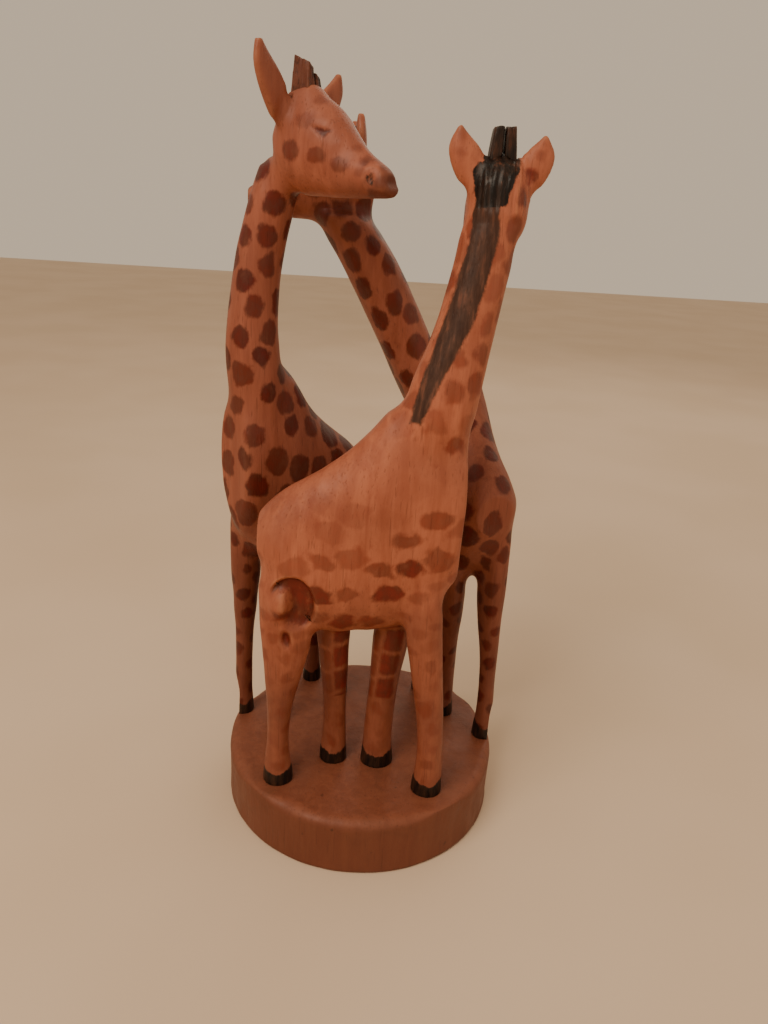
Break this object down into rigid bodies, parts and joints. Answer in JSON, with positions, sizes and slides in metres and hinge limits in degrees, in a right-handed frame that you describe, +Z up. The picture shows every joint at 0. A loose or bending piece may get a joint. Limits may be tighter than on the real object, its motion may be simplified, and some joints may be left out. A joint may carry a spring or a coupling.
{
  "type": "carved giraffe group",
  "caption": "Wooden souvenir carving: a group of standing giraffes with crossing necks on a round base cut from the same log.",
  "frame": {"origin": "centre of the flat underside of the round base", "axes": "+Z up along the log; the front giraffe's body faces +X, its outer side faces -Y"},
  "size_m": [0.1231, 0.12, 0.2975],
  "materials": {
    "spotted_wood": "carved close-grained wood, red-brown stain with dark red-brown dabbed spots, satin wax",
    "base_wood": "the same wood left plain, sanded, tan-brown with darker stains and worn rim, satin wax",
    "hoof_paint": "wood painted near-black, ragged upper edge, satin",
    "horn_paint": "wood painted near-black, worn brown on edges and cut ends, satin"
  },
  "bodies": {
    "root": {"base": "base_wood", "front_fore_inner_hoof": "hoof_paint", "front_fore_inner_leg": "spotted_wood", "front_fore_outer_hoof": "hoof_paint", "front_fore_outer_leg": "spotted_wood", "front_head": "spotted_wood", "front_hind_inner_hoof": "hoof_paint", "front_hind_inner_leg": "spotted_wood", "front_hind_outer_hoof": "hoof_paint", "front_hind_outer_leg": "spotted_wood", "front_left_ear": "spotted_wood", "front_left_horn": "horn_paint", "front_neck": "spotted_wood", "front_right_ear": "spotted_wood", "front_right_horn": "horn_paint", "front_torso": "spotted_wood", "left_fore_inner_hoof": "hoof_paint", "left_fore_inner_leg": "spotted_wood", "left_fore_outer_hoof": "hoof_paint", "left_fore_outer_leg": "spotted_wood", "left_head": "spotted_wood", "left_hind_inner_hoof": "hoof_paint", "left_hind_inner_leg": "spotted_wood", "left_hind_outer_hoof": "hoof_paint", "left_hind_outer_leg": "spotted_wood", "left_left_ear": "spotted_wood", "left_left_horn": "horn_paint", "left_neck": "spotted_wood", "left_right_ear": "spotted_wood", "left_right_horn": "horn_paint", "left_torso": "spotted_wood", "right_fore_inner_hoof": "hoof_paint", "right_fore_inner_leg": "spotted_wood", "right_fore_outer_hoof": "hoof_paint", "right_fore_outer_leg": "spotted_wood", "right_head": "spotted_wood", "right_hind_inner_hoof": "hoof_paint", "right_hind_inner_leg": "spotted_wood", "right_hind_outer_hoof": "hoof_paint", "right_hind_outer_leg": "spotted_wood", "right_left_ear": "spotted_wood", "right_left_horn": "horn_paint", "right_neck": "spotted_wood", "right_right_ear": "spotted_wood", "right_right_horn": "horn_paint", "right_torso": "spotted_wood"}
  },
  "joints": []
}
